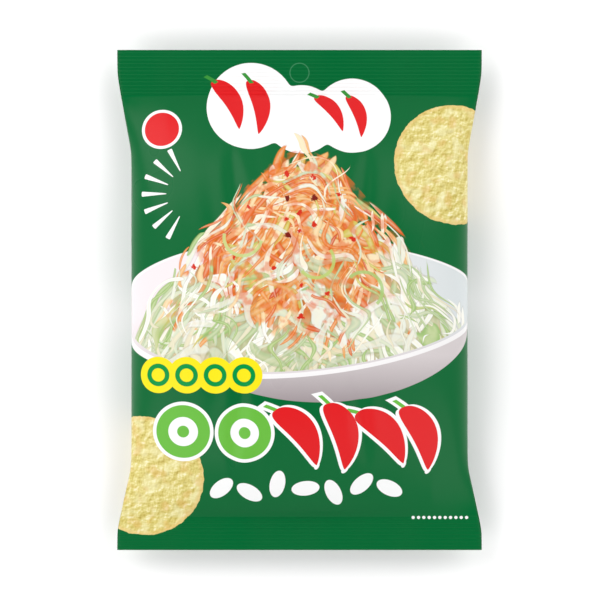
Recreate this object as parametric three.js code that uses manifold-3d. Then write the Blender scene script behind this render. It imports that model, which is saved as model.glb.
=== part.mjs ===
// A shut pillow pack of rice crackers: one tube of printed film with a fin seam down its back,
// crimped flat at both ends and puffed out between them. It lies on its back, printed front up.
// Millimetres. +Y runs to the pack's top edge, +Z up from the surface that it lies on,
// and the origin is under the middle of the pack.
import * as THREE from "three";
import { mergeVertices } from "three/addons/utils/BufferGeometryUtils.js";
import Module from "manifold-3d";

const wasm = await Module();
wasm.setup();

// Driving dimensions: the flat film
const packLength = 220;
const sealWidth = 160.5;
const topSealDepth = 20;
const bottomSealDepth = 15;

// Driving dimensions: the filled pack
const bodyWidth = 148.3;
const packDepth = 38;
const sealHeight = 12;
const backSwell = 16.5;
const endCurve = 66;
const endFullness = 2.2;

// The power of the section's arch: pointed side folds at the seals, round ones along the middle
const foldPower = 2;
const middlePower = 0.96;

// The sides draw in between these distances from each end of the pack
const topDrawStart = 11;
const topDrawEnd = 44.5;
const bottomDrawStart = 8.8;
const bottomDrawEnd = 36.5;
const drawSoftness = 0.09;

// The crimped seals: film thickness as modelled, and the ridges that run across them
const sealThickness = 0.5;
const crimpPitch = 1.6;
const crimpDepth = 0.36;

// Gathers that run in from the seals: how many half waves across, how deep, and how fast they fade
const gatherCount = 7;
const gatherDepth = 1.5;
const gatherReach = 30;
const gatherFade = 2.2;
const gatherShift = 1.7;
const gatherUneven = 0.35;
const gatherUnevenTurn = 5.3;
const gatherUnevenShift = 2.1;

// The dents at the four corners: depth, then where each lies and how wide it is, along and across
const cornerDent = 3.2;
const cornerAlong = 19.5;
const cornerLength = 15.6;
const cornerAcross = 0.86;
const cornerBreadth = 0.16;

// Crackers pressing on the film from inside, in staggered columns
const crackerDiameter = 52;
const crackerRows = 1.25;
const crackerColumns = 1.1;
const crackerStagger = 0.6;
const crackerShift = 0.5;
const bulge = 0.9;

// How soon away from the side folds and the seals the film reaches its full thickness and relief
const skinGrowth = 6;
const reliefFromFold = 2;
const reliefFromSeal = 4;
const backRelief = 0.7;

// The fin seam, folded over on the back
const finWidth = 11;
const finThickness = 0.4;
const finSunk = 0.6;

// The hanging hole's scored ring, which isn't pushed out
const scoreRadius = 4.2;
const scoreFromTop = 10;
const scoreWidth = 0.5;
const scoreDepth = 0.22;

// Fineness of the mesh, with its rows drawn together towards the seals by a share
const stepsAround = 88;
const stepsAlong = 50;
const rowsDrawn = 0.45;
const outlineSteps = 60;
const finSteps = 44;
const ringSteps = 32;

const topEdge = packLength / 2;
const bottomEdge = -packLength / 2;
const topSealLine = topEdge - topSealDepth;
const bottomSealLine = bottomEdge + bottomSealDepth;
const frontSwell = packDepth - sealHeight;

// A ramp from 0 to 1 with its two corners rounded off
function softRamp(t) {
  const bent = (v) => (v + Math.hypot(v, drawSoftness)) / 2;
  return THREE.MathUtils.clamp(bent(t) - bent(t - 1), 0, 1);
}

// Half the pack's width at y: full at the seals, drawn in where the pack is filled
function halfWidth(y) {
  const fromTop = (topEdge - y - topDrawStart) / (topDrawEnd - topDrawStart);
  const fromBottom = (y - bottomEdge - bottomDrawStart) / (bottomDrawEnd - bottomDrawStart);
  const drawn = Math.min(softRamp(fromTop), softRamp(fromBottom));
  return THREE.MathUtils.lerp(sealWidth, bodyWidth, drawn) / 2;
}

// How far in from the nearer seal line y lies
function fromSeal(y) {
  return Math.max(0, Math.min(topSealLine - y, y - bottomSealLine));
}

// How full the pack is at y: 0 at a seal line, 1 along its middle
function fullness(y) {
  const left = 1 - Math.min(1, fromSeal(y) / endCurve);
  return 1 - left ** endFullness;
}

// Height of the folds near the seals: gathers fan inwards and fade out
function gather(across, y) {
  const d = fromSeal(y);
  const fade = (d / gatherReach) * Math.exp(1 - (gatherFade * d) / gatherReach);
  const end = y > 0 ? 1 : -1;
  const phase = gatherCount * Math.PI * across + gatherShift * end;
  const turn = gatherUnevenTurn * across + gatherUnevenShift * end;
  const uneven = 1 - gatherUneven + gatherUneven * Math.sin(turn);
  return gatherDepth * fade * uneven * Math.cos(phase);
}

// Depth of the dent that each corner of the filled part has
function dent(across, y) {
  const inwards = (fromSeal(y) - cornerAlong) / cornerLength;
  const aside = (Math.abs(across) - cornerAcross) / cornerBreadth;
  return cornerDent * Math.exp(-(inwards ** 2) - aside ** 2);
}

// Soft rise where crackers lie against the film
function crackers(x, y) {
  const row = (y / crackerDiameter) * Math.PI * crackerRows;
  const column = (x / crackerDiameter) * Math.PI * crackerColumns;
  const staggered = Math.sin(row + crackerStagger * Math.sin(column));
  return bulge * staggered * Math.cos(column + crackerShift);
}

// y of a row, for along running from -1 at the bottom seal line to 1 at the top one
function rowPlace(along) {
  const middle = (topSealLine + bottomSealLine) / 2;
  const half = (topSealLine - bottomSealLine) / 2;
  const drawn = THREE.MathUtils.lerp(along, Math.sin((along * Math.PI) / 2), rowsDrawn);
  return middle + half * drawn;
}

// Height of the film at a point. across runs from -1 to 1 over the pack, and up is how far
// the point is from the pack's side folds: above 0 on the front and below 0 on the back.
function filmHeight(across, up, y) {
  const full = fullness(y);
  const arch = Math.abs(up) ** THREE.MathUtils.lerp(foldPower, middlePower, full);
  const skin = Math.min(1, Math.abs(up) * skinGrowth) * (sealThickness / 2);
  const awayFromSeal = Math.min(1, full * reliefFromSeal);
  if (up > 0) {
    const rise = crackers(across * halfWidth(y), y) * full;
    const relief = gather(across, y) - dent(across, y) + rise;
    const awayFromFold = Math.min(1, up * reliefFromFold);
    return sealHeight + skin + arch * frontSwell * full + relief * awayFromFold * awayFromSeal;
  }
  if (up < 0) {
    return sealHeight - skin - arch * backSwell * full - gather(across, y) * backRelief * awayFromSeal;
  }
  return sealHeight;
}

// The filled part: a closed tube whose every point is moved to the pack's surface
function filledPart() {
  const tube = new THREE.CylinderGeometry(1, 1, 1, stepsAround, stepsAlong);
  const place = tube.attributes.position;
  for (let i = 0; i < place.count; i += 1) {
    const across = place.getX(i);
    const y = rowPlace(place.getY(i) * 2);
    const height = filmHeight(across, place.getZ(i), y);
    place.setXYZ(i, across * halfWidth(y), y, Math.max(0, height));
  }
  return asSolid(tube);
}

// A closed geometry as a solid for joining and cutting
function asSolid(geometry) {
  const bare = geometry.clone();
  bare.deleteAttribute("normal");
  bare.deleteAttribute("uv");
  const merged = mergeVertices(bare, 1e-4);
  const mesh = new wasm.Mesh({
    numProp: 3,
    vertProperties: new Float32Array(merged.attributes.position.array),
    triVerts: new Uint32Array(merged.index.array),
  });
  return new wasm.Manifold(mesh);
}

// A profile in the plane of Y and Z, carried along X from one place to another
function carriedAcross(points, fromX, toX) {
  const shape = new THREE.Shape(points.map(([y, z]) => new THREE.Vector2(y, z)));
  const bar = new THREE.ExtrudeGeometry(shape, { depth: toX - fromX, bevelEnabled: false });
  const turn = new THREE.Matrix4().makeBasis(
    new THREE.Vector3(0, 1, 0),
    new THREE.Vector3(0, 0, 1),
    new THREE.Vector3(1, 0, 0),
  );
  bar.applyMatrix4(turn);
  bar.translate(fromX, 0, 0);
  return asSolid(bar);
}

// Height of the crimp's ridges at y, a zigzag with its peaks a pitch apart
function crimp(step) {
  return (step % 2 === 0 ? 0.5 : -0.5) * crimpDepth;
}

// One crimped seal, from y = start to y = end, with ridges across the whole pack
function crimpedSeal(start, end) {
  const steps = Math.round(((end - start) / crimpPitch) * 2);
  const upper = [];
  const lower = [];
  for (let i = 0; i <= steps; i += 1) {
    const y = THREE.MathUtils.lerp(start, end, i / steps);
    const middle = sealHeight + crimp(i);
    upper.push([y, middle + sealThickness / 2]);
    lower.unshift([y, middle - sealThickness / 2]);
  }
  return carriedAcross([...upper, ...lower], -sealWidth / 2, sealWidth / 2);
}

// The pack's outline from above, as a tall block that trims the seals to it
function outlineBlock() {
  const right = [];
  for (let i = 0; i <= outlineSteps; i += 1) {
    const y = THREE.MathUtils.lerp(bottomEdge, topEdge, i / outlineSteps);
    right.push(new THREE.Vector2(halfWidth(y), y));
  }
  const left = right.map((p) => new THREE.Vector2(-p.x, p.y)).reverse();
  const shape = new THREE.Shape([...right, ...left]);
  return asSolid(new THREE.ExtrudeGeometry(shape, { depth: packDepth * 2, bevelEnabled: false }));
}

// The fin seam: a strip that follows the back from end to end, folded over to one side
function finSeam() {
  const under = [];
  const over = [];
  for (let i = 0; i <= finSteps; i += 1) {
    const y = THREE.MathUtils.lerp(bottomEdge, topEdge, i / finSteps);
    const back = sealHeight - sealThickness / 2 - backSwell * fullness(y);
    under.push([y, Math.max(0, back - finThickness)]);
    over.unshift([y, Math.max(0, back) + finSunk]);
  }
  return carriedAcross([...under, ...over], -finWidth, 0);
}

// The ring scored into the front of the top seal
function scoredRing() {
  const top = sealHeight + sealThickness / 2 + crimpDepth / 2;
  const inner = scoreRadius - scoreWidth / 2;
  const outer = scoreRadius + scoreWidth / 2;
  const profile = [
    new THREE.Vector2(inner, -scoreDepth),
    new THREE.Vector2(outer, -scoreDepth),
    new THREE.Vector2(outer, 1),
    new THREE.Vector2(inner, 1),
    new THREE.Vector2(inner, -scoreDepth),
  ];
  const ring = new THREE.LatheGeometry(profile, ringSteps);
  ring.rotateX(Math.PI / 2);
  ring.translate(0, topEdge - scoreFromTop, top);
  return asSolid(ring);
}

// A solid back to a three.js geometry
function asGeometry(solid) {
  const mesh = solid.getMesh();
  const geometry = new THREE.BufferGeometry();
  geometry.setAttribute("position", new THREE.BufferAttribute(new Float32Array(mesh.vertProperties), 3));
  geometry.setIndex(new THREE.BufferAttribute(new Uint32Array(mesh.triVerts), 1));
  geometry.computeVertexNormals();
  return geometry;
}

// The seals run a little way into the filled part, so that they are one solid with it
const sealOverlap = 1.2;
const seals = crimpedSeal(topSealLine - sealOverlap, topEdge)
  .add(crimpedSeal(bottomEdge, bottomSealLine + sealOverlap))
  .intersect(outlineBlock());
const pouchSolid = filledPart().add(seals).add(finSeam()).subtract(scoredRing());

const printedFilm = new THREE.MeshStandardMaterial({ color: 0x086e38, roughness: 0.42, metalness: 0.0 });
const pouch = new THREE.Mesh(asGeometry(pouchSolid), printedFilm);
pouch.name = "pouch";

const pack = new THREE.Group();
pack.add(pouch);
export default pack;
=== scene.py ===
import functools
import math

import bpy
import numpy as np
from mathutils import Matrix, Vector


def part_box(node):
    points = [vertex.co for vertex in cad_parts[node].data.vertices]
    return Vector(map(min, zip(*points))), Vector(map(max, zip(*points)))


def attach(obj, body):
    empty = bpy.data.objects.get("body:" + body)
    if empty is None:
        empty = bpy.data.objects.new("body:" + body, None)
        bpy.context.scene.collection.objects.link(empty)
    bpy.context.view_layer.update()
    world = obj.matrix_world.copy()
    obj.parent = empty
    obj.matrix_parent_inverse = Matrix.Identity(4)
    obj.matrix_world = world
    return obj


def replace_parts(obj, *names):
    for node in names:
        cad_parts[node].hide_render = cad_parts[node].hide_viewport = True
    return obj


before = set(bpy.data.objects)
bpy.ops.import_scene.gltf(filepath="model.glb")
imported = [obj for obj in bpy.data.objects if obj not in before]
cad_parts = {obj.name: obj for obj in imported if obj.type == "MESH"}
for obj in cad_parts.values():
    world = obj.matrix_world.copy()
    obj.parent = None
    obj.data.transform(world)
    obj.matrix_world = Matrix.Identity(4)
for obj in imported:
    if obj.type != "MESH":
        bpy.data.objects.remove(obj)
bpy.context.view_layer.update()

# A shut pillow pack of rice crackers, lying on its back with its printed front up.
# Lengths here are in millimetres, as in the solid model, and become metres where a mesh is made.
MM = 0.001

pouch_low, pouch_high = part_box("pouch")


# Sizes: the flat film, from the solid pouch

PACK_LENGTH = (pouch_high.y - pouch_low.y) / MM
SEAL_WIDTH = (pouch_high.x - pouch_low.x) / MM
TOP_EDGE = PACK_LENGTH / 2
BOTTOM_EDGE = -PACK_LENGTH / 2
TOP_SEAL_DEPTH = 20.0
BOTTOM_SEAL_DEPTH = 15.0
TOP_SEAL_LINE = TOP_EDGE - TOP_SEAL_DEPTH
BOTTOM_SEAL_LINE = BOTTOM_EDGE + BOTTOM_SEAL_DEPTH

# Sizes: the filled pack
BODY_WIDTH = 148.3
SEAL_HEIGHT = 12.4
FRONT_SWELL = 26.0
BACK_SWELL = 13.0
BACK_LIMIT = 12.0
END_CURVE = 66.0
TOP_DRAW = (11.0, 44.5)
BOTTOM_DRAW = (8.8, 36.5)
DRAW_SOFTNESS = 0.09

# Sizes: small forms of the film
SEAL_THICKNESS = 0.34
CRIMP_PITCH = 1.6
CRIMP_DEPTH = 0.30
GATHER_DEPTH = 0.62
GATHER_REACH = 20.0
GATHER_SPACING = 13.5
CRACKER_DIAMETER = 52.0
CRACKER_BULGE = 0.5
SEAL_FADE = 1.2
SIDE_FADE = 9.0
BACK_GATHERS = 0.5
FLOOR_GAP = 0.42

# Sizes: the fin seam on the back
FIN_WIDTH = 11.0
FIN_THICKNESS = 0.4
FIN_SUNK = 0.1
FIN_RIDGE = 0.06
FIN_RIDGES = 5
FIN_LOWEST = 0.01

# Fineness of the modelled form, the simulated film and the finished one
SECTION_POINTS = 721
SIM_STEP = 2.0
SIM_SEAL_ROW = 3.2
SEAL_ROW = 0.32
BODY_ROW = 1.05
FINE_COLUMNS = 144


# The pack's form

def soft_ramp(t):
    """A ramp from 0 to 1 over t = 0 to 1: the mean of v and the length of (v, softness), taken at t, less
    the same taken at t - 1."""
    def bent(v):
        return (v + np.hypot(v, DRAW_SOFTNESS)) / 2
    return np.clip(bent(t) - bent(t - 1), 0, 1)


def half_width(y):
    """Half the pack's width at y: full at the seals, drawn in by a soft ramp where the pack is filled."""
    from_top = soft_ramp((TOP_EDGE - y - TOP_DRAW[0]) / (TOP_DRAW[1] - TOP_DRAW[0]))
    from_bottom = soft_ramp((y - BOTTOM_EDGE - BOTTOM_DRAW[0]) / (BOTTOM_DRAW[1] - BOTTOM_DRAW[0]))
    drawn = np.minimum(from_top, from_bottom)
    return (SEAL_WIDTH + (BODY_WIDTH - SEAL_WIDTH) * drawn) / 2


def from_seal(y):
    """How far in from the nearer seal line y lies, and 0 on the seals."""
    return np.maximum(0, np.minimum(TOP_SEAL_LINE - y, y - BOTTOM_SEAL_LINE))


def fullness(y):
    """How full the pack is at y: 1 - (1 - d)^2.2, with d the way in from the seal line as a share of the
    length of the end's curve."""
    return 1 - (1 - np.minimum(1, from_seal(y) / END_CURVE)) ** 2.2


def section(y, swell, limit, share):
    """Half of the pack's cross-section at y, from its right fold over to its left fold, at shares of its
    length. x is the half width times the cosine of an angle, and z is the swell times the fullness times
    the sine to a power that falls from 2 at the seals to 0.96 in the middle, held within the limit."""
    angle = np.linspace(0, math.pi, SECTION_POINTS)
    full = fullness(y)
    x = half_width(y) * np.cos(angle)
    z = swell * full * np.abs(np.sin(angle)) ** (2 - 1.04 * full)
    z = np.clip(z, -limit, limit)
    along = np.concatenate([[0], np.cumsum(np.hypot(np.diff(x), np.diff(z)))])
    along /= along[-1]
    return np.stack([np.interp(share, along, x), np.full_like(share, y), np.interp(share, along, z)], -1)


def rings(front, back):
    """Front and back grids, both from the right fold to the left fold, joined into rings."""
    return np.concatenate([front, back[:, -2:0:-1]], axis=1)


def starting_form(rows, columns):
    """Rings of the modelled form, at rows of y, with the given number of steps over each side."""
    share = np.linspace(0, 1, columns + 1)
    front = np.stack([section(y, FRONT_SWELL, FRONT_SWELL, share) for y in rows])
    back = np.stack([section(y, -BACK_SWELL, BACK_LIMIT, share) for y in rows])
    return rings(front, back)


def flat_film(form, columns):
    """The same rings as flat film: across, equal steps of the film's width. Along, the length of the
    front's middle line, and at the sides a fifth of the way to the shorter length of the side folds."""
    across = 1 - 2 * np.linspace(0, 1, columns + 1)

    def run(column):
        steps = np.linalg.norm(np.diff(form[:, column], axis=0), axis=1)
        length = np.concatenate([[0], np.cumsum(steps)])
        return length - length[-1] / 2

    side_share = 0.2 * across**2
    along = run(columns // 2)[:, None] * (1 - side_share) + run(0)[:, None] * side_share
    wide = np.broadcast_to(across * SEAL_WIDTH / 2, along.shape)
    side = np.stack([wide, along, np.zeros_like(along)], -1)
    return rings(side, side)


# The film filled by simulation

SIM_SCALE = 10
SIM_FRAMES = 24

# How firmly the front and the back are held: the most, from how far in, and over what length it grows
FRONT_HOLD = (0.02, 12, 45)
BACK_HOLD = (0.1, 8, 30)

FILM_CLOTH = {
    "quality": 8, "mass": 0.2, "tension_stiffness": 40, "compression_stiffness": 40, "shear_stiffness": 15,
    "bending_stiffness": 8, "tension_damping": 5, "compression_damping": 5, "shear_damping": 5,
    "bending_damping": 0.5, "air_damping": 3, "pin_stiffness": 1, "uniform_pressure_force": 3.0,
}


def ring_faces(rows, around):
    """Quads between neighbouring rings, facing outwards."""
    index = np.arange(rows * around).reshape(rows, around)
    beside = np.roll(index, -1, axis=1)
    quads = np.stack([index[:-1], index[1:], beside[1:], beside[:-1]], -1)
    return quads.reshape(-1, 4)


def hold_weights(form, columns):
    """How firmly each point is held to the modelled form: fully on the seals, a little on the front
    and somewhat more on the back, both growing with the distance from the seals."""
    inwards = from_seal(form[..., 1])

    def grown(most, start, length):
        return most * np.clip((inwards - start) / length, 0, 1)

    hold = grown(*FRONT_HOLD)
    hold[:, columns + 1:] = grown(*BACK_HOLD)[:, columns + 1:]
    hold[inwards <= 0] = 1
    return np.round(hold, 3).ravel()


def add_cloth(piece, flat):
    """Cloth with air pressure inside, whose rest lengths are those of the flat film."""
    modifier = piece.modifiers.new("film", "CLOTH")
    film = modifier.settings
    for name, value in FILM_CLOTH.items():
        setattr(film, name, value)
    film.vertex_group_mass = "hold"
    film.use_pressure = True
    film.rest_shape_key = flat
    film.effector_weights.gravity = 0
    modifier.collision_settings.use_collision = False
    modifier.collision_settings.use_self_collision = False
    modifier.point_cache.frame_start = 1
    modifier.point_cache.frame_end = SIM_FRAMES


def inflated(form, flat, columns):
    """The rings after the film has filled with air, by Blender's cloth at ten times the size."""
    to_sim = SIM_SCALE * MM
    rows, around = form.shape[:2]
    mesh = bpy.data.meshes.new("filling")
    mesh.from_pydata((form.reshape(-1, 3) * to_sim).tolist(), [], ring_faces(rows, around).tolist())
    piece = bpy.data.objects.new("filling", mesh)
    bpy.context.scene.collection.objects.link(piece)
    piece.shape_key_add(name="form", from_mix=False)
    flat_key = piece.shape_key_add(name="flat", from_mix=False)
    flat_key.data.foreach_set("co", (flat * to_sim).astype(np.float32).ravel())
    flat_key.value = 0
    weights = hold_weights(form, columns)
    group = piece.vertex_groups.new(name="hold")
    for weight in np.unique(weights[weights > 0]):
        group.add(np.flatnonzero(weights == weight).tolist(), float(weight), "REPLACE")
    add_cloth(piece, flat_key)
    for step in range(1, SIM_FRAMES + 1):
        bpy.context.scene.frame_set(step)
    result = piece.evaluated_get(bpy.context.evaluated_depsgraph_get()).data
    places = np.empty(len(result.vertices) * 3, dtype=np.float32)
    result.vertices.foreach_get("co", places)
    bpy.data.objects.remove(piece)
    bpy.data.meshes.remove(mesh)
    bpy.context.scene.frame_set(1)
    return places.reshape(form.shape).astype(float) / to_sim


# The finished film

def between(grid, places, closed=False):
    """Values at places between a grid's rows, on Catmull-Rom curves through them."""
    if closed:
        padded = np.concatenate([grid[-1:], grid, grid[:2]])
    else:
        padded = np.concatenate([[2 * grid[0] - grid[1]], grid, [2 * grid[-1] - grid[-2]]])
    last = len(padded) - 4
    first = np.clip(np.floor(places).astype(int), 0, last)
    t = (places - first).reshape(-1, *([1] * (grid.ndim - 1)))
    a, b, c, d = (padded[first + k] for k in range(4))
    curve = (2 * a - 5 * b + 4 * c - d) + (3 * b - a - 3 * c + d) * t
    return b + 0.5 * t * ((c - a) + t * curve)


def rows_apart(seal_row, body_row):
    """Rows of y in equal steps, about seal_row apart on each seal and about body_row apart between."""
    def steps(start, end, size):
        return np.linspace(start, end, int(round((end - start) / size)) + 1)
    bottom = steps(BOTTOM_EDGE, BOTTOM_SEAL_LINE, seal_row)
    body = steps(BOTTOM_SEAL_LINE, TOP_SEAL_LINE, body_row)
    top = steps(TOP_SEAL_LINE, TOP_EDGE, seal_row)
    return np.concatenate([bottom[:-1], body, top[1:]])


def finer(coarse, coarse_rows, rows, columns):
    """Rings moved to the finished film's rows and columns."""
    around = coarse.shape[1]
    row_places = np.interp(rows, coarse_rows, np.arange(len(coarse_rows)))
    rows_done = between(coarse, row_places)
    ring_places = np.arange(2 * columns) * around / (2 * columns)
    rings_done = between(np.moveaxis(rows_done, 1, 0), ring_places, closed=True)
    return np.moveaxis(rings_done, 0, 1)


def straight_sides(film, rows, columns):
    """The film with its side folds brought most of the way to the modelled outline, row by row. The
    stretch is kept plus 1 - kept times the wanted half width over the actual one."""
    kept = 0.2
    wanted = half_width(rows)
    for fold, side in ((0, 1), (columns, -1)):
        actual = film[:, fold, 0] * side
        stretch = kept + (1 - kept) * wanted / actual
        on_side = np.sign(film[..., 0]) == side
        film[..., 0] = np.where(on_side, film[..., 0] * stretch[:, None], film[..., 0])
    return film


def crimp(x, y, on_seal):
    """Height of the seals' ridges: a cosine along y, a little uneven across, that fades at the seal
    line."""
    uneven = 0.85 + 0.15 * np.sin(0.21 * x + 1.3) * np.sin(0.09 * x + 0.4)
    return CRIMP_DEPTH / 2 * uneven * on_seal * np.cos(2 * math.pi * (y - TOP_EDGE) / CRIMP_PITCH)


def gathers(x, y):
    """Height of the small pleats that run in from the seals. Across, sharp ridges, 1 less the square root
    of a sine's size, at uneven places. Along, a hump that differs from ridge to ridge."""
    end = np.sign(y)
    inwards = from_seal(y) / GATHER_REACH
    uneven = 0.5 + 0.5 * np.sin(x / 11.0 + 2.3 * end) * np.sin(x / 23.0 + 0.7)
    fade = inwards * np.exp(1 - (1.6 + 1.6 * uneven) * inwards)
    phase = math.pi * x / GATHER_SPACING + 1.7 * end + 0.9 * np.sin(x / 19.0 + end)
    ridge = 1 - np.sqrt(np.abs(np.sin(phase)) + 0.02)
    swell = np.cos(x / 8.5 + 1.1 * end) * 0.35
    return GATHER_DEPTH * fade * ((1.4 - uneven) * ridge + swell)


def crackers_inside(x, y):
    """Soft rises where crackers lie against the film: a sine along the pack, shifted from column to
    column, times a cosine across it."""
    row = y / CRACKER_DIAMETER * math.pi * 1.25
    column = x / CRACKER_DIAMETER * math.pi * 1.1
    return CRACKER_BULGE * np.sin(row + 0.6 * np.sin(column)) * np.cos(column + 0.5)


def finished_film(coarse, coarse_rows, rows, columns):
    """The finished film's rings: the filled form with its small forms, set on the floor."""
    film = finer(coarse, coarse_rows, rows, columns)
    film = straight_sides(film, rows, columns)
    x, y, z = film[..., 0], film[..., 1], film[..., 2]
    on_seal = (1 - np.clip(from_seal(rows) / SEAL_FADE, 0, 1))[:, None]
    facing = np.zeros(2 * columns)
    facing[1:columns] = 1
    facing[columns + 1:] = -1
    layers = facing * SEAL_THICKNESS / 2
    pleats = gathers(x, y)
    relief = np.where(facing > 0, pleats + crackers_inside(x, y) * fullness(y), pleats * BACK_GATHERS)
    off_side = np.clip((half_width(y) - np.abs(x)) / SIDE_FADE, 0, 1)
    z = z + layers + relief * off_side * (1 - on_seal) + crimp(x, y, on_seal)
    height = np.maximum(z + SEAL_HEIGHT, FLOOR_GAP)
    return np.stack([x, y, height], -1)


def print_places(coarse_form, coarse_rows, rows, columns):
    """Where each point of the rings lies on the print, in millimetres from the middle of the front.
    Along the pack it is y. Across, it is the distance from the middle line as seen from above, and where
    the film turns down at a side it goes on at three quarters of the way along the film."""
    turned_down = 0.75
    form = finer(coarse_form, coarse_rows, rows, columns)
    ring = np.concatenate([form, form[:, :1]], axis=1)
    step = np.diff(ring, axis=1)
    way = np.hypot(step[..., 0], step[..., 2])
    seen = np.maximum(np.abs(step[..., 0]), turned_down * way)
    from_right = np.concatenate([np.zeros((len(rows), 1)), np.cumsum(seen, axis=1)], axis=1)
    return from_right[:, columns // 2][:, None] - from_right


def film_loops(rows, columns, across, quads):
    """The print's coordinates at each corner of the film's quads."""
    around = 2 * columns
    row, ring = quads // around, quads % around
    wrapped = np.where((ring == 0) & (ring.max(axis=1, keepdims=True) == around - 1), around, ring)
    u = across[row, wrapped]
    behind_right = wrapped.min(axis=1, keepdims=True) >= columns + columns // 2
    whole = (across[:, 0] - across[:, around])[row]
    u = np.where(behind_right, u + whole, u)
    return np.stack([u, rows[row]], -1)


def end_caps(rows, columns):
    """Narrow faces that close the film's two ends, between its front and its back."""
    around = 2 * columns
    front = np.arange(columns + 1)
    back = (-front) % around
    faces = []
    for row, outwards in ((0, 1), (rows - 1, -1)):
        start = row * around
        for k in range(columns):
            corners = [front[k], front[k + 1], back[k + 1], back[k]]
            unique = list(dict.fromkeys(int(c) + start for c in corners))
            faces.append(unique[::outwards])
    return faces


def new_piece(name, points, faces, material, loops=None):
    """A mesh object from points in millimetres, with its print's coordinates, riding on the body."""
    mesh = bpy.data.meshes.new(name)
    mesh.from_pydata((points.reshape(-1, 3) * MM).tolist(), [], faces)
    mesh.shade_smooth()
    if loops is not None:
        layer = mesh.uv_layers.new(name="Print")
        layer.data.foreach_set("uv", loops.astype(np.float32).ravel())
    mesh.materials.append(material)
    mesh.validate()
    piece = bpy.data.objects.new(name, mesh)
    bpy.context.scene.collection.objects.link(piece)
    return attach(piece, "root")


def build_film(film, rows, columns, across, material):
    """The film as one closed skin."""
    quads = ring_faces(len(rows), 2 * columns)
    caps = end_caps(len(rows), columns)
    loops = film_loops(rows, columns, across, quads).reshape(-1, 2)
    cap_corners = np.concatenate([np.array(face) for face in caps])
    cap_loops = np.stack([film.reshape(-1, 3)[cap_corners, 0], film.reshape(-1, 3)[cap_corners, 1]], -1)
    faces = quads.tolist() + caps
    piece = new_piece("film", film, faces, material, np.concatenate([loops, cap_loops]))
    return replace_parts(piece, "pouch")


def build_fin_seam(film, columns, material):
    """The fin seam: a strip down the back, folded over to the left, that follows the film just outside it.
    Its thickness is the sine of the way across to the power 0.25, with fine ridges along it."""
    middle = columns + columns // 2
    width = int(round(FIN_WIDTH / (SEAL_WIDTH / columns)))
    inner = film[:, middle - width:middle + 1].copy()
    swell = np.sin(np.linspace(0, math.pi, width + 1)) ** 0.25
    ridges = FIN_RIDGE * np.cos(np.linspace(0, FIN_RIDGES * 2 * math.pi, width + 1))
    outer = inner.copy()
    outer[..., 2] = np.maximum(inner[..., 2] - (FIN_THICKNESS + ridges) * swell, FIN_LOWEST)
    inner[..., 2] += FIN_SUNK
    strip = np.concatenate([inner[:, ::-1], outer], axis=1)
    around = strip.shape[1]
    faces = ring_faces(len(strip), around).tolist()
    last = (len(strip) - 1) * around
    faces.append(list(range(around)))
    faces.append([last + k for k in range(around)][::-1])
    return new_piece("fin_seam", strip, faces, material)


# Node helpers: each places a node, in the tree that its values come from, and gives the node's output

def put(socket, value):
    """Gives a node's input a value, or links it to another node's output."""
    if isinstance(value, bpy.types.NodeSocket):
        socket.id_data.links.new(value, socket)
    else:
        socket.default_value = value


def tree_of(values):
    """The node tree that the values' sockets belong to."""
    return next(value.id_data for value in values if isinstance(value, bpy.types.NodeSocket))


def new_node(kind, *values, **settings):
    """A node with its settings made and its inputs in use given the values, in order."""
    node = tree_of(values).nodes.new("ShaderNode" + kind)
    for name, setting in settings.items():
        setattr(node, name, setting)
    for socket, value in zip([s for s in node.inputs if s.enabled], values):
        put(socket, value)
    return node


def in_use(outputs):
    """The one output that a node with several uses has in its present use."""
    return next(s for s in outputs if s.enabled)


def number(operation, *values):
    """One Math node: the operation on up to three numbers."""
    return new_node("Math", *values, operation=operation).outputs[0]


plus, minus, times, times_plus, size_of, larger, smaller = (
    functools.partial(number, operation)
    for operation in ("ADD", "SUBTRACT", "MULTIPLY", "MULTIPLY_ADD", "ABSOLUTE", "MAXIMUM", "MINIMUM")
)


def held(value, low, high):
    """A number held between low and high."""
    return larger(smaller(value, high), low)


def vector(operation, *values):
    """One Vector Math node. A length, distance or dot product comes out as a number."""
    return in_use(new_node("VectorMath", *values, operation=operation).outputs)


def scaled(value, by):
    """A vector times a number."""
    return vector("SCALE", value, by)


def joined(x, y, z=0.0):
    """A vector from three numbers."""
    return new_node("CombineXYZ", x, y, z).outputs[0]


def parted(value, colour=False):
    """The three numbers of a vector or a colour."""
    return new_node("SeparateColor" if colour else "SeparateXYZ", value).outputs


def ranged(value, low, high, to_low=0.0, to_high=1.0, smooth=True):
    """value carried from low..high to to_low..to_high: smooth stops at both ends, straight runs on."""
    values = (value, low, high, to_low, to_high)
    kind = "SMOOTHSTEP" if smooth else "LINEAR"
    return new_node("MapRange", *values, clamp=False, interpolation_type=kind).outputs[0]


def mixed(share, first, second):
    """Two colours mixed by a share from 0 to 1."""
    return in_use(new_node("Mix", share, first, second, data_type="RGBA").outputs)


def ramp(value, stops, stepped=False):
    """A colour ramp through (place, colour) stops."""
    node = new_node("ValToRGB", value)
    band = node.color_ramp
    band.interpolation = "CONSTANT" if stepped else "LINEAR"
    while len(band.elements) < len(stops):
        band.elements.new(0.5)
    for element, (place, colour) in zip(band.elements, stops):
        element.position = place
        element.color = colour
    return node.outputs[0]


def noise(place, size, detail=2.0, roughness=0.5, flat=True):
    """Blender's noise, with features about size across, flat on the print or through the solid."""
    dimensions = "2D" if flat else "3D"
    node = new_node("TexNoise", place, 1 / size, detail, roughness, noise_dimensions=dimensions)
    return node.outputs["Fac"], node.outputs["Color"]


def cells(place):
    """Blender's cell pattern: one random point in each unit square."""
    return new_node("TexVoronoi", place, 1.0, voronoi_dimensions="2D").outputs


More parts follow.
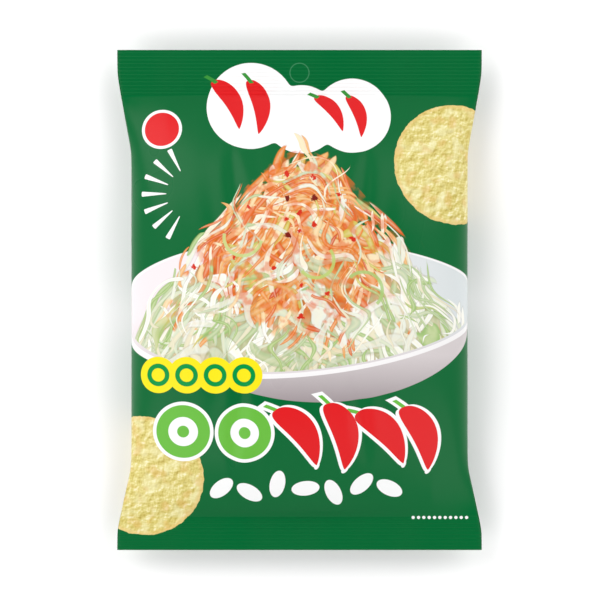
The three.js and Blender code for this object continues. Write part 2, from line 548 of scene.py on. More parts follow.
def new_group(name, inputs, outputs):
    """An empty node group with named sockets. inputs maps a name to its value, outputs to its kind."""
    kinds = {float: "NodeSocketFloat", tuple: "NodeSocketVector", str: "NodeSocketColor"}
    tree = bpy.data.node_groups.new(name, "ShaderNodeTree")
    for label, default in inputs.items():
        kind = kinds[type(default)]
        socket = tree.interface.new_socket(name=label, in_out="INPUT", socket_type=kind)
        if not isinstance(default, str):
            socket.default_value = default
    for label, kind in outputs.items():
        tree.interface.new_socket(name=label, in_out="OUTPUT", socket_type=kinds[kind])
    given = tree.nodes.new("NodeGroupInput").outputs
    result = tree.nodes.new("NodeGroupOutput").inputs
    return tree, given, result


def use_group(group, **values):
    """Places a group and sets the named inputs."""
    node = tree_of(values.values()).nodes.new("ShaderNodeGroup")
    node.node_tree = group
    for label, value in values.items():
        put(node.inputs[label], value)
    return node.outputs


PRINT_WHITE = 0.84


def ink(red, green, blue):
    """A print colour, given as seen beside the print's white from 0 to 255, in Blender's linear light."""
    def linear(c):
        c /= 255
        return PRINT_WHITE * (c / 12.92 if c <= 0.04045 else ((c + 0.055) / 1.055) ** 2.4)
    return (linear(red), linear(green), linear(blue), 1.0)


# Shapes on the print: each gives about the distance to its edge, under 0 inside it

ORIGIN = (0.0, 0.0, 0.0)
INK_EDGE = 0.07

# A pod's stalk: its middle and half its length as shares of the pod's half length, and half its width
STALK_MIDDLE = 1.08
STALK_REACH = 0.2
STALK_HALF_WIDTH = 0.9


def mask(distance):
    """1 inside a shape and 0 outside it, with a thin soft edge."""
    return ranged(distance, -INK_EDGE, INK_EDGE, 1.0, 0.0)


def disc(place, centre, radius):
    """A round spot: the distance from its centre less its radius."""
    return minus(vector("DISTANCE", place, (*centre, 0.0)), radius)


def oval(place, centre, size):
    """An oval: the length of the place over its half sizes, less 1, times the smaller half size."""
    moved = vector("SUBTRACT", place, (*centre, 0.0))
    length = vector("LENGTH", vector("DIVIDE", moved, (*size, 1.0)))
    return times_plus(length, min(size), -min(size))


def band(distance, inset, half):
    """A line of twice half the width, drawn round inside a shape's edge at the given inset."""
    return minus(size_of(plus(distance, inset)), half)


def nearest(distances, soft=0.0):
    """Several shapes as one: the smallest of their distances, with soft corners where soft is given."""
    total = distances[0]
    for other in distances[1:]:
        total = number("SMOOTH_MIN", total, other, soft) if soft else smaller(total, other)
    return total


def repeated(value, first, step, count):
    """Which of count equal steps a value is nearest to, and how far it is from it."""
    index = number("ROUND", times_plus(value, 1 / step, -first / step))
    index = held(index, 0.0, count - 1.0)
    return index, minus(value, times_plus(index, step, first))


def turned(place, angle):
    """Where a place lies along and across an axis turned by an angle, and the directions of both."""
    cosine, sine = number("COSINE", angle), number("SINE", angle)
    forwards, sideways = joined(cosine, sine), joined(times(sine, -1.0), cosine)
    along, aside = (vector("DOT_PRODUCT", place, axis) for axis in (forwards, sideways))
    return along, aside, forwards, sideways


def pod_group():
    """A bent pod. Along it t runs from 0 at its pointed end to 1 at its blunt end, 2 Length apart, and its
    half width is 2.1 Width t^0.75 (1 - t)^0.4, about a middle line that bows by Bow (2t - 1)^2.
    Distance is about that to its edge, and Stalk that to a short stalk at the blunt end."""
    tree, given, result = new_group(
        "Bent pod",
        {"Place": ORIGIN, "Centre": ORIGIN, "Turn": 0.0, "Length": 10.0, "Width": 2.0, "Bow": 0.0},
        {"Distance": float, "Stalk": float},
    )
    moved = vector("SUBTRACT", given["Place"], given["Centre"])
    along, aside, _, _ = turned(moved, given["Turn"])
    along = number("DIVIDE", along, given["Length"])
    off = size_of(minus(aside, times(times(along, along), given["Bow"])))
    t = times_plus(along, 0.5, 0.5)
    growing = number("POWER", larger(t, 0.0), 0.75)
    closing = number("POWER", larger(minus(1.0, t), 0.0), 0.4)
    room = times(times(growing, closing), 2.1)
    aside = minus(off, times(room, given["Width"]))
    past_tips = times(minus(size_of(along), 1.0), given["Length"])
    outside = vector("MAXIMUM", joined(aside, past_tips), ORIGIN)
    inside = smaller(larger(aside, past_tips), 0.0)
    put(result["Distance"], plus(vector("LENGTH", outside), inside))
    past_end = times(minus(size_of(minus(along, STALK_MIDDLE)), STALK_REACH), given["Length"])
    put(result["Stalk"], larger(minus(off, STALK_HALF_WIDTH), past_end))
    return tree


def pods(group, place, centres, turns, length, width, bow):
    """Several pods of one size: the distance to them, and that to their stalks."""
    made = [
        use_group(group, Place=place, Centre=(*centre, 0.0), Turn=math.radians(turn),
                  Length=length, Width=width, Bow=bow)
        for centre, turn in zip(centres, turns)
    ]
    return [nearest([pod[name] for pod in made]) for name in ("Distance", "Stalk")]


# The pictured heap of shredded leek

HEAP_PEAK = 68.0
HEAP_MIDDLE = 1.0
HEAP_TIP = 20.0
HEAP_SLOPE = 1.45
OIL_CENTRE = (-2.0, 35.0, 0.0)
OIL_REACH = (60.0, 52.0, 1.0)
OIL_PATCHES = 1.2
OIL_FADE = (0.50, 1.04)

# The ground stays this far inside the outline, and up to so much more where its mottle is strong
GROUND_INSET = 3.0
GROUND_RAGGED = 20.0

# Shreds laid round the heap thin out between these distances under its peak
SHELL = (22.0, 48.0)

# Cool tones are bare leek and warm tones are dressed in chili oil: (from which share of the draw, colour)
COOL_TONES = (
    (0.00, ink(254, 255, 250)), (0.22, ink(218, 229, 204)), (0.38, ink(240, 244, 232)),
    (0.54, ink(196, 212, 178)), (0.66, ink(234, 228, 200)), (0.78, ink(178, 204, 152)),
    (0.90, ink(158, 196, 118)),
)
WARM_TONES = (
    (0.00, ink(254, 246, 226)), (0.14, ink(249, 214, 162)), (0.26, ink(243, 176, 102)),
    (0.41, ink(236, 132, 44)), (0.58, ink(226, 98, 28)), (0.70, ink(252, 232, 192)),
    (0.79, ink(240, 152, 66)), (0.89, ink(212, 200, 92)), (0.97, ink(214, 66, 28)),
)
OIL_COLOUR = ink(230, 104, 32)
SHINE_COLOUR = ink(255, 246, 212)
SHADE_COLOUR = ink(150, 118, 72)

# Layers of shreds from the lowest up: lean in degrees, length, width, bow, share kept,
# the side of the heap that is meant (-1 left, 1 right), how far inside the outline they stay,
# whether they lie round the heap's rim (1) or straight on the print (0), how much of the oil they took,
# and how much they hide
SHRED_LAYERS = (
    (62, 18, 5.6, 10, 0.70, -1, 8.0, 0, 1.0, 0.94),
    (-58, 18, 5.6, 10, 0.70, 1, 8.0, 0, 1.0, 0.94),
    (6, 14, 5.0, 8, 0.90, 0, 3.5, 1, 1.0, 0.94),
    (86, 15, 4.4, -12, 0.56, 0, 12.0, 0, 1.1, 0.94),
    (36, 15, 3.6, 12, 0.50, -1, 8.0, 0, 1.0, 0.94),
    (-40, 15, 3.6, -12, 0.50, 1, 8.0, 0, 0.9, 0.94),
    (-12, 12, 3.2, 14, 0.55, 0, 3.0, 1, 1.1, 0.94),
    (-16, 14, 3.4, 16, 0.34, 0, 14.0, 0, 1.0, 0.94),
    (68, 14, 3.0, 16, 0.44, 0, 9.0, 0, 1.1, 0.94),
    (-74, 14, 2.8, -16, 0.38, 0, 9.0, 0, 0.9, 0.94),
    (8, 22, 6.4, 26, 0.40, 0, 38.0, 0, 0.3, 0.66),
    (18, 12, 2.8, 16, 0.40, 0, 2.5, 1, 0.9, 0.94),
    (50, 16, 2.4, -18, 0.30, -1, 5.0, 0, 1.0, 0.94),
    (-48, 16, 2.4, 18, 0.30, 1, 5.0, 0, 0.8, 0.94),
    (74, 18, 5.0, 24, 0.12, 0, 14.0, 0, 0.2, 0.75),
    (-34, 20, 5.6, 26, 0.20, 0, 30.0, 0, 0.2, 0.70),
    (-24, 12, 2.0, 20, 0.22, 0, 1.0, 1, 0.6, 0.94),
    (84, 15, 1.7, 22, 0.20, 0, 8.0, 0, 0.6, 0.94),
)


def shreds_group():
    """One layer of shreds, one in each long cell of a stretched and bent cell pattern.
    A shred is a ribbon about its cell's middle: its half width is 0.42 less 3.6 times the fourth power of
    the way along it. Depth is how far in from its edge a point lies, as a share of the cell's width,
    Chance and Pick are the cell's two random numbers, and Home is about where its middle lies."""
    tree, given, result = new_group(
        "Layer of shreds",
        {"Place": ORIGIN, "Wander": ORIGIN, "Lean": 0.0, "Length": 14.0, "Width": 1.6, "Bow": 5.0,
         "Seed": 0.0},
        {"Depth": float, "Chance": float, "Pick": float, "Home": tuple},
    )
    bent = vector("ADD", given["Place"], scaled(given["Wander"], given["Bow"]))
    along, aside, forwards, sideways = turned(bent, given["Lean"])
    stretched = joined(number("DIVIDE", along, given["Length"]), number("DIVIDE", aside, given["Width"]))
    shift = joined(times(given["Seed"], 37.7), times(given["Seed"], 91.3))
    place = vector("ADD", stretched, shift)
    cell = cells(place)
    red, green, _ = parted(cell["Color"], colour=True)
    along, aside, _ = parted(vector("SUBTRACT", place, cell["Position"]))
    square = times(along, along)
    room = times_plus(times(square, square), -3.6, 0.42)
    put(result["Depth"], minus(room, size_of(aside)))
    put(result["Chance"], red)
    put(result["Pick"], green)
    back = scaled(forwards, times(along, given["Length"]))
    side = scaled(sideways, times(aside, given["Width"]))
    put(result["Home"], vector("SUBTRACT", vector("SUBTRACT", bent, back), side))
    return tree


def heap_fall(x):
    """How far the heap's outline has come down from its peak at x: the sides are straight slopes,
    and the tip is round."""
    off = minus(x, HEAP_MIDDLE)
    reach = vector("LENGTH", joined(off, HEAP_TIP))
    return times_plus(reach, HEAP_SLOPE, -HEAP_SLOPE * HEAP_TIP)


def heap_group():
    """Whether a shred lies on the heap: its home is under the heap's outline, and its random number is
    under the share kept, which fades to the side not meant. Round is 1 where homes are given round the
    heap, with y already counted from the outline, and then only the heap's outer shell keeps its shreds.
    Warmth is 1 where the heap is dressed in chili oil and 0 where it is bare leek, unevenly by Patch, and
    Height is y as counted along the outline."""
    tree, given, result = new_group(
        "Place on the heap",
        {"Home": ORIGIN, "Chance": 0.0, "Share": 1.0, "Side": 0.0, "Slack": 0.0, "Round": 0.0,
         "Patch": 0.0},
        {"Kept": float, "Warmth": float, "Height": float},
    )
    x, y, _ = parted(given["Home"])
    fall = heap_fall(x)
    height = times_plus(minus(1.0, given["Round"]), fall, y)
    under = number("LESS_THAN", plus(height, given["Slack"]), HEAP_PEAK)
    off = minus(x, HEAP_MIDDLE)
    lean = times_plus(times(given["Side"], 1 / 16), off, 0.75)
    share = times(given["Share"], smaller(lean, 1.0))
    inside_shell = times(ranged(height, *SHELL, 1.0, 0.0), given["Round"])
    share = times(share, minus(1.0, inside_shell))
    kept = number("LESS_THAN", given["Chance"], share)
    put(result["Kept"], times(kept, under))
    real = joined(x, minus(height, fall))
    far = vector("LENGTH", vector("DIVIDE", vector("SUBTRACT", real, OIL_CENTRE), OIL_REACH))
    far = times_plus(given["Patch"], OIL_PATCHES, far)
    put(result["Warmth"], ranged(far, *OIL_FADE, 1.0, 0.0))
    put(result["Height"], height)
    return tree


def heap_ground(place, under, on_heap):
    """What shows between the shreds: mottled, leek green outside and chili orange in the middle."""
    mottle, _ = noise(place, 7.0, detail=2.0)
    here = use_group(on_heap, Home=place)
    warmth = ranged(plus(here["Warmth"], mottle), 0.5, 1.0)
    lit = ranged(mottle, 0.35, 0.65)
    cool = mixed(lit, ink(186, 192, 144), ink(214, 214, 180))
    warm = mixed(lit, ink(206, 98, 38), ink(232, 156, 92))
    ragged = times_plus(mottle, GROUND_RAGGED, here["Height"])
    edge = HEAP_PEAK - GROUND_INSET
    inside = ranged(ragged, edge - 1.0, edge, 1.0, 0.0)
    return mixed(inside, under, mixed(warmth, cool, warm))


def heap_wander(place, at, size):
    """A slow random shift of the place, for bending shreds, and a third such number."""
    _, drift = noise(vector("ADD", place, (at, 0.0, 0.0)), size, detail=0.0)
    x, y, patch = [minus(part, 0.5) for part in parted(drift, colour=True)]
    return joined(x, y), patch


def shred_skin(shred, oil):
    """A layer's colours: a warm tone where the oil passes a random draw and otherwise a cool one, and
    a shine along the middle of each shred."""
    draw = number("FRACT", times(shred["Pick"], 13.7))
    dressed = ranged(minus(oil, draw), -0.08, 0.08)
    cool = ramp(shred["Pick"], COOL_TONES, stepped=True)
    skin = mixed(dressed, cool, ramp(shred["Pick"], WARM_TONES, stepped=True))
    shine = ranged(shred["Depth"], 0.10, 0.42, 0.0, 0.34)
    return mixed(shine, skin, SHINE_COLOUR)


# How much a layer is nudged by the one below it, and the lowest layer's seed
HAIR = 0.01
FIRST_SEED = 1.37


def pictured_heap(place, x, y, under):
    """The heap, laid over what is under it: its ground, then layer on layer of shreds.
    Each layer is nudged a hair by the one below it, so that Cycles works them out one after the other
    and the shader's memory isn't overrun."""
    shreds, on_heap = shreds_group(), heap_group()
    heap = heap_ground(place, under, on_heap)
    wanders = [heap_wander(place, at, size) for at, size in ((0.0, 24.0), (400.0, 17.0))]
    places = (place, joined(x, plus(y, heap_fall(x))))
    cover = None
    for index, layer in enumerate(SHRED_LAYERS):
        lean, length, width, bow, kept, side, slack, way, oil, hides = layer
        wander, patch = wanders[index % 2]
        nudged = float(bow) if cover is None else times_plus(cover, HAIR, bow)
        shred = use_group(shreds, Place=places[way], Wander=wander, Lean=math.radians(lean),
                          Length=float(length), Width=width, Bow=nudged, Seed=index + FIRST_SEED)
        lies = use_group(on_heap, Home=shred["Home"], Chance=shred["Chance"], Share=kept,
                         Side=float(side), Slack=slack, Round=float(way), Patch=patch)
        skin = shred_skin(shred, times(lies["Warmth"], oil))
        shade = ranged(shred["Depth"], -0.16, 0.04, 0.0, 0.24)
        heap = mixed(times(shade, lies["Kept"]), heap, SHADE_COLOUR)
        body = ranged(shred["Depth"], -0.02, 0.12, 0.0, hides)
        cover = times(body, lies["Kept"])
        heap = mixed(cover, heap, skin)
    heap = pooled_oil(place, heap, on_heap, wanders[0][1])
    heap = chili_flecks(place, heap, on_heap)
    return leek_curls(place, heap)


def pooled_oil(place, heap, on_heap, patch):
    """Small clouds of chili oil over the dressed shreds."""
    cloud, _ = noise(place, 5.0, detail=2.0)
    here = use_group(on_heap, Home=place, Slack=3.0, Patch=patch)
    stain = times(ranged(cloud, 0.46, 0.66, 0.0, 0.62), here["Warmth"])
    return mixed(times(stain, here["Kept"]), heap, OIL_COLOUR)


FLECK_SPACING = 5.6
FLECK_SHARE = 0.22


def chili_flecks(place, under, on_heap):
    """Flecks of red and dark chili, one in some cells of a cell pattern over the dressed shreds."""
    rough, _ = noise(place, 1.6, detail=2.0, roughness=0.6)
    cell = cells(scaled(place, 1 / FLECK_SPACING))
    red, green, _ = parted(cell["Color"], colour=True)
    home = scaled(cell["Position"], FLECK_SPACING)
    lies = use_group(on_heap, Home=home, Chance=red, Share=FLECK_SHARE, Slack=6.0)
    size = times_plus(green, 0.16, 0.13)
    away = times_plus(rough, 0.5, plus(cell["Distance"], -0.22))
    fleck = ranged(minus(away, size), -0.04, 0.04, 1.0, 0.0)
    dressed = number("GREATER_THAN", lies["Warmth"], 0.25)
    fleck = times(fleck, times(lies["Kept"], dressed))
    dark = number("GREATER_THAN", green, 0.8)
    return mixed(fleck, under, mixed(dark, ink(216, 52, 34), ink(126, 34, 26)))


# Cut ends of leek curled on the heap: centre, radius, the way the open half faces, colour
LEEK_CURLS = (
    ((7.0, 17.0), 7.5, (0.6, -0.8), ink(190, 212, 118)),
    ((-24.0, 27.0), 8.0, (-0.2, -1.0), ink(200, 218, 140)),
    ((27.0, 4.0), 8.0, (0.7, 0.7), ink(172, 206, 124)),
)


def leek_curls(place, under):
    """Half rings of green leek."""
    for centre, radius, facing, colour in LEEK_CURLS:
        ring = band(disc(place, centre, radius), 0.0, 0.7)
        moved = vector("SUBTRACT", place, (*centre, 0.0))
        behind = times(vector("DOT_PRODUCT", moved, (*facing, 0.0)), -1.0)
        curl = mask(larger(ring, behind))
        under = mixed(times(curl, 0.85), under, colour)
    return under


# The print's other fields of colour, in order from the ground up

WHITE_INK = ink(254, 254, 254)
GROUND_GREEN = ink(0, 105, 52)
LEAF_GREEN = ink(108, 190, 66)
DEEP_LEAF_GREEN = ink(0, 150, 70)
CHILI_RED = ink(228, 32, 36)
STALK_GREEN = ink(60, 150, 60)
SUN_YELLOW = ink(253, 234, 32)

CRACKER_CENTRES = ((67.1, 59.2), (-68.0, -77.0))
CRACKER_RADIUS = 26.4
CRACKER_LUMP = 3.6
CRACKER_LIGHT = (-0.45, 0.6, 0.0)

# Discs are (centre, radius) and ovals are (centre, half sizes)
CLOUD_DISCS = (((-21.3, 84.9), 19.4), ((23.1, 80.6), 16.8), ((1.0, 79.0), 15.5))
SPOT = ((-60.0, 74.6), 8.8)
SPOT_RIM = 1.3
LEEK_SLICES = (((-50.0, -57.0), 11.6), ((-23.5, -57.5), 11.4))
SLICE_RING = 2.6
DISH_WALL = ((9.0, -3.5), (68.5, 40.5))
DISH_LIP = ((0.5, -3.5), (82.0, 29.6))
DISH_WELL = ((0.5, -2.9), (79.6, 28.2))
DISH_TILT = 0.027
DISH_TILT_FALL = -0.0017

# Groups of pods: their centres, turns in degrees, half length, width and bow
CLOUD_CHILIES = (
    (((-29.0, 87.0), (-16.5, 85.0)), (118, 100), 12.5, 4.0, 3.4),
    (((15.0, 83.0), (26.5, 81.0)), (126, 106), 10.0, 3.0, 2.6),
)
ROW_CHILIES = (
    ((2.0, -57.0), (20.0, -58.0), (38.0, -57.0), (54.0, -58.5)), (126, 104, 132, 112), 15.0, 5.8, 4.2,
)
ROW_EDGE = 1.5

# Rows of like motifs: the first one's x (or angle), the step between them and their number, then their y
RAY_FAN = (math.radians(-62), math.radians(20.7), 7)
RAYS_START = (-46.0, 46.0, 0.0)
ROUNDS, ROUNDS_Y = (-60.4, 12.28, 4), -32.4
GRAINS, GRAINS_Y = (-34.0, 12.2, 7), -82.0
DOTS, DOTS_Y = (50.0, 2.35, 11), -95.7


def cracker_height(place):
    """Height of the crackers' puffed faces: rounded lumps with fine roughness on them."""
    rough, _ = noise(place, CRACKER_LUMP, detail=3.0, roughness=0.6)
    lumps = cells(scaled(place, 1 / CRACKER_LUMP))["Distance"]
    return times_plus(lumps, -0.6, times(rough, 2.0))


def pictured_crackers(place, under):
    """Two round crackers with puffed, lumpy faces, lit from the upper left, and a toasted rim."""
    height = cracker_height(place)
    towards = cracker_height(vector("ADD", place, CRACKER_LIGHT))
    away = nearest([disc(place, centre, CRACKER_RADIUS) for centre in CRACKER_CENTRES])
    away = plus(away, times_plus(height, 0.5, -0.35))
    lit = times_plus(minus(height, towards), 0.95, 0.52)
    lit = times_plus(minus(height, 0.7), 0.22, lit)
    face = ramp(lit, (
        (0.0, ink(186, 164, 76)), (0.3, ink(214, 196, 108)), (0.55, ink(228, 214, 132)),
        (0.8, ink(243, 232, 168)), (1.0, ink(252, 247, 206)),
    ))
    _, blush = noise(place, 7.0, detail=1.0, roughness=0.6)
    pale, toast, _ = parted(blush, colour=True)
    face = mixed(ranged(pale, 0.5, 0.72, 0.0, 0.5), face, ink(246, 240, 188))
    face = mixed(ranged(toast, 0.52, 0.75, 0.0, 0.45), face, ink(228, 184, 104))
    face = mixed(ranged(away, -2.4, -0.5, 0.0, 0.6), face, ink(234, 200, 124))
    return mixed(mask(away), under, face)


def chili_cloud(place, under, pod_shape):
    """A white cloud of three discs, with four red chilies on it."""
    cloud = nearest([disc(place, *given) for given in CLOUD_DISCS], soft=3.0)
    colour = mixed(mask(cloud), under, WHITE_INK)
    red, stalks = zip(*[pods(pod_shape, place, *chilies) for chilies in CLOUD_CHILIES])
    colour = mixed(mask(nearest(red)), colour, CHILI_RED)
    return mixed(mask(nearest(stalks)), colour, STALK_GREEN)


def pictured_dish(place, x, y, under):
    """A white dish seen from a little above: its outer wall, its lip, and its shaded inside."""
    wall = ramp(ranged(y, -44.0, -24.0, smooth=False), (
        (0.0, ink(164, 153, 156)), (0.45, ink(190, 181, 183)), (1.0, ink(216, 208, 209)),
    ))
    tilt = times_plus(y, DISH_TILT_FALL, DISH_TILT)
    level = joined(x, minus(y, times(x, tilt)))
    outside = larger(oval(place, *DISH_WALL), minus(y, DISH_WALL[0][1]))
    colour = mixed(mask(outside), under, wall)
    colour = mixed(mask(oval(level, *DISH_LIP)), colour, ink(250, 248, 248))
    inside = mixed(ranged(x, -20.0, 74.0), ink(248, 238, 241), ink(222, 228, 229))
    inside = mixed(ranged(y, -4.0, -26.0, 0.0, 0.8), inside, ink(222, 214, 216))
    well = oval(level, *DISH_WELL)
    return mixed(mask(well), colour, inside), well


def round_mark(place, under):
    """A plain red spot with a white rim."""
    spot = disc(place, *SPOT)
    colour = mixed(mask(spot), under, WHITE_INK)
    return mixed(mask(plus(spot, SPOT_RIM)), colour, CHILI_RED)


def white_rays(place, under):
    """A fan of white strokes that widen outwards from a point on the heap's left."""
    moved = vector("SUBTRACT", place, RAYS_START)
    x, y, _ = parted(moved)
    reach = vector("LENGTH", moved)
    _, off = repeated(number("ARCTAN2", y, times(x, -1.0)), *RAY_FAN)
    half = times_plus(reach, 0.085, -0.75)
    aside = minus(size_of(times(reach, off)), half)
    ends = minus(size_of(minus(reach, 16.5)), 5.5)
    return mixed(mask(number("SMOOTH_MAX", aside, ends, 0.8)), under, WHITE_INK)


def yellow_rounds(place, x, y, under):
    """A chain of four yellow rounds, each with a green ring."""
    _, off = repeated(x, *ROUNDS)
    rounds = disc(joined(off, plus(y, -ROUNDS_Y)), (0.0, 0.0), 7.9)
    colour = mixed(mask(rounds), under, SUN_YELLOW)
    return mixed(mask(band(rounds, 4.0, 1.0)), colour, DEEP_LEAF_GREEN)


def leek_and_chili_row(place, under, pod_shape):
    """Two slices of leek and four red chilies in a row, with a white edge all round."""
    slices, rounds = [], []
    for centre, radius in LEEK_SLICES:
        whole = disc(place, centre, radius)
        rounds.append(whole)
        slices += [band(whole, SLICE_RING, SLICE_RING), plus(whole, radius - SLICE_RING)]
    red, stalks = pods(pod_shape, place, *ROW_CHILIES)
    green = nearest([*slices, stalks])
    edge = minus(nearest([*rounds, stalks, red]), ROW_EDGE)
    colour = mixed(mask(edge), under, WHITE_INK)
    colour = mixed(mask(green), colour, LEAF_GREEN)
    return mixed(mask(red), colour, CHILI_RED)


def rice_grains(x, y, under):
    """A row of seven white grains of rice, each turned and raised by its number in the row."""
    index, off = repeated(x, *GRAINS)
    rise = times(number("SINE", times(index, 2.1)), 2.2)
    place = joined(off, plus(plus(y, -GRAINS_Y), rise))
    along, aside, _, _ = turned(place, times_plus(index, 1.9, 0.7))
    grain = oval(joined(along, aside), (0.0, 0.0), (6.1, 3.3))
    return mixed(mask(grain), under, WHITE_INK)


def small_dots(x, y, under):
    """A row of eleven small white dots near the foot."""
    _, off = repeated(x, *DOTS)
    dots = disc(joined(off, plus(y, -DOTS_Y)), (0.0, 0.0), 0.72)
    return mixed(mask(dots), under, WHITE_INK)


def print_group():
    """The whole print of the front: Place is in millimetres from its middle."""
    tree, given, result = new_group("Print of the front", {"Place": ORIGIN}, {"Colour": str})
    place = given["Place"]
    x, y, _ = parted(place)
    pod_shape = pod_group()
    colour = pictured_crackers(place, GROUND_GREEN)
    colour = chili_cloud(place, colour, pod_shape)
    colour, well = pictured_dish(place, x, y, colour)
    heap = pictured_heap(place, x, y, colour)
    low = number("LESS_THAN", y, DISH_LIP[0][1])
    past_lip = times(low, number("GREATER_THAN", well, -0.8))
    colour = mixed(past_lip, heap, colour)
    colour = round_mark(place, colour)
    colour = white_rays(place, colour)
    colour = yellow_rounds(place, x, y, colour)
    colour = leek_and_chili_row(place, colour, pod_shape)
    colour = rice_grains(x, y, colour)
    put(result["Colour"], small_dots(x, y, colour))
    return tree


# Materials

BACK_STARTS = 97.0
PANEL_HALF = (50.0, 66.0)
PANEL_CORNER = 4.0
PANEL_RULES = (38.0, 8.0, -30.0)
RULE_INSET = 2.0
RULE_HALF = 0.25
SCORED_RING = ((0.0, TOP_EDGE - 10.0), 4.2)


def new_material(name):
    """A material with its Principled BSDF."""
    material = bpy.data.materials.new(name)
    material.use_nodes = True
    return material, material.node_tree, material.node_tree.nodes["Principled BSDF"]


def back_panel(place):
    """The back's print: a plain pale panel with round corners, ruled off into a few fields."""
    x, y, _ = parted(place)
    out_x = minus(size_of(x), PANEL_HALF[0] - PANEL_CORNER)
    out_y = minus(size_of(y), PANEL_HALF[1] - PANEL_CORNER)
    corner = joined(larger(out_x, 0.0), larger(out_y, 0.0))
    panel = minus(vector("LENGTH", corner), PANEL_CORNER)
    colour = mixed(mask(panel), GROUND_GREEN, ink(240, 243, 226))
    line = band(panel, RULE_INSET, RULE_HALF)
    for height in PANEL_RULES:
        rule = minus(size_of(minus(y, height)), RULE_HALF)
        line = nearest([line, larger(rule, plus(panel, RULE_INSET))])
    return mixed(mask(line), colour, DEEP_LEAF_GREEN)


def scored_ring(place):
    """Depth of the ring scored for a hanging hole."""
    return ranged(band(disc(place, *SCORED_RING), 0.0, 0.18), -0.1, 0.15, 1.0, 0.0)


def film_material():
    """Printed film: the print on the front, the panel on the back, and a faintly uneven satin skin."""
    material, tree, shader = new_material("printed_film")
    uv = tree.nodes.new("ShaderNodeUVMap")
    uv.uv_map = "Print"
    at_object = scaled(tree.nodes.new("ShaderNodeTexCoord").outputs["Object"], 1 / MM)
    place = vector("ADD", uv.outputs["UV"], ORIGIN)
    front = use_group(print_group(), Place=place)["Colour"]
    across, _, _ = parted(place)
    behind = number("GREATER_THAN", size_of(across), BACK_STARTS)
    colour = mixed(behind, front, back_panel(at_object))
    ring = scored_ring(place)
    colour = mixed(times(ring, 0.28), colour, ink(120, 190, 150))
    put(shader.inputs["Base Color"], colour)
    smear, _ = noise(at_object, 34.0, detail=1.0, flat=False)
    put(shader.inputs["Roughness"], ranged(smear, 0.3, 0.7, 0.27, 0.34))
    put(shader.inputs["Specular IOR Level"], 0.13)
    grain, _ = noise(at_object, 5.0, detail=2.0, roughness=0.55, flat=False)
    bump = tree.nodes.new("ShaderNodeBump")
    put(bump.inputs["Strength"], 0.35)
    put(bump.inputs["Distance"], 0.06 * MM)
    put(bump.inputs["Height"], minus(grain, ring))
    put(shader.inputs["Normal"], bump.outputs["Normal"])
    return material


def fin_material():
    """The fin seam: plain film in the ground's green, scuffed a little paler in places."""
    material, tree, shader = new_material("fin_film")
    at_object = scaled(tree.nodes.new("ShaderNodeTexCoord").outputs["Object"], 1 / MM)
    scuff, _ = noise(at_object, 2.5, detail=3.0, roughness=0.6, flat=False)
    worn = ranged(scuff, 0.55, 0.75, 0.0, 0.25)
    put(shader.inputs["Base Color"], mixed(worn, GROUND_GREEN, ink(60, 150, 100)))
    put(shader.inputs["Roughness"], ranged(scuff, 0.3, 0.7, 0.30, 0.44))
    put(shader.inputs["Specular IOR Level"], 0.2)
    return material


# Floor, light and camera

FLOOR_REACH = 3.0
PIXEL = 0.44
PHOTO_SIDE = 600
PACK_MIDDLE_PIXEL = 299.5
LENS = 150.0
SENSOR = 36.0


def add_floor():
    """A plain pale floor."""
    mesh = bpy.data.meshes.new("floor")
    corners = [(x * FLOOR_REACH, y * FLOOR_REACH, 0) for x, y in ((-1, -1), (1, -1), (1, 1), (-1, 1))]
    mesh.from_pydata(corners, [], [(0, 1, 2, 3)])
    material, _, shader = new_material("floor")
    put(shader.inputs["Base Color"], (0.98, 0.98, 0.98, 1.0))
    put(shader.inputs["Roughness"], 0.9)
    mesh.materials.append(material)
    floor = bpy.data.objects.new("floor", mesh)
    bpy.context.scene.collection.objects.link(floor)


# Soft lights: their x, y and power. Their height and side are alike
LIGHTS = {
    "upper left": (-0.85, 0.75, 8.4), "upper right": (0.85, 0.75, 6.2),
    "lower left": (-0.85, -0.75, 6.2), "lower right": (0.85, -0.75, 4.6),
}
LIGHT_HEIGHT = 0.85
LIGHT_SIDE = 1.0


def add_light(name, place, power):
    """A square soft light, aimed at the pack."""
    data = bpy.data.lights.new(name, "AREA")
    data.size = LIGHT_SIDE
    data.energy = power
    light = bpy.data.objects.new(name, data)
    light.location = place
    light.rotation_euler = (-Vector(place)).to_track_quat("-Z", "Y").to_euler()
    bpy.context.scene.collection.objects.link(light)


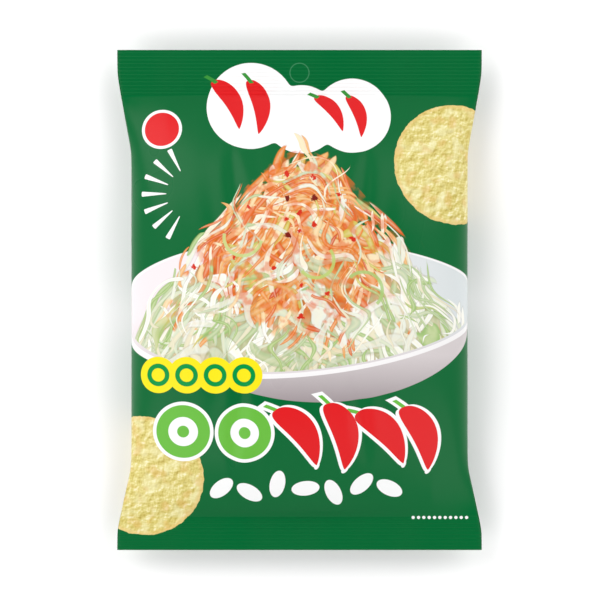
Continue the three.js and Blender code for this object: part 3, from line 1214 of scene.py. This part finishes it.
# The tent's glow, that of its top, and the heights (0 level, 1 straight up) between which it fades
TENT_GLOW = 0.86
TENT_TOP_GLOW = 0.04
TENT_FADE = (0.70, 0.94)


def add_lights():
    """Four large soft lights low round the pack, the upper left one strongest, inside a white tent."""
    for name, (x, y, power) in LIGHTS.items():
        add_light(name, (x, y, LIGHT_HEIGHT), power)
    add_tent()


def add_tent():
    """A white tent that glows all round and is nearly dark at its top, so that nothing shines back
    from the flat film into a camera above it."""
    world = bpy.data.worlds.new("tent")
    world.use_nodes = True
    tree = world.node_tree
    height = parted(tree.nodes.new("ShaderNodeTexCoord").outputs["Generated"])[2]
    background = tree.nodes["Background"].inputs
    put(background["Color"], (1, 1, 1, 1))
    put(background["Strength"], ranged(height, *TENT_FADE, TENT_GLOW, TENT_TOP_GLOW))
    bpy.context.scene.world = world


def add_camera():
    """A long lens straight above the pack, framed as the photograph is."""
    data = bpy.data.cameras.new("camera")
    data.lens = LENS
    data.sensor_width = SENSOR
    data.clip_end = 20
    camera = bpy.data.objects.new("camera", data)
    view_width = PHOTO_SIDE * PIXEL
    sideways = (PHOTO_SIDE / 2 - PACK_MIDDLE_PIXEL) * PIXEL
    above = SEAL_HEIGHT + view_width * LENS / SENSOR
    camera.location = (sideways * MM, 0, above * MM)
    bpy.context.scene.collection.objects.link(camera)
    bpy.context.scene.camera = camera


# The scene

def build_pack():
    """The film and its fin seam."""
    coarse_rows = rows_apart(SIM_SEAL_ROW, SIM_STEP)
    columns = 2 * int(round(SEAL_WIDTH / SIM_STEP / 2))
    form = starting_form(coarse_rows, columns)
    filled = inflated(form, flat_film(form, columns), columns)
    rows = rows_apart(SEAL_ROW, BODY_ROW)
    film = finished_film(filled, coarse_rows, rows, FINE_COLUMNS)
    across = print_places(form, coarse_rows, rows, FINE_COLUMNS)
    build_film(film, rows, FINE_COLUMNS, across, film_material())
    build_fin_seam(film, FINE_COLUMNS, fin_material())


build_pack()
add_floor()
add_lights()
add_camera()
bpy.context.scene.view_settings.view_transform = "Standard"
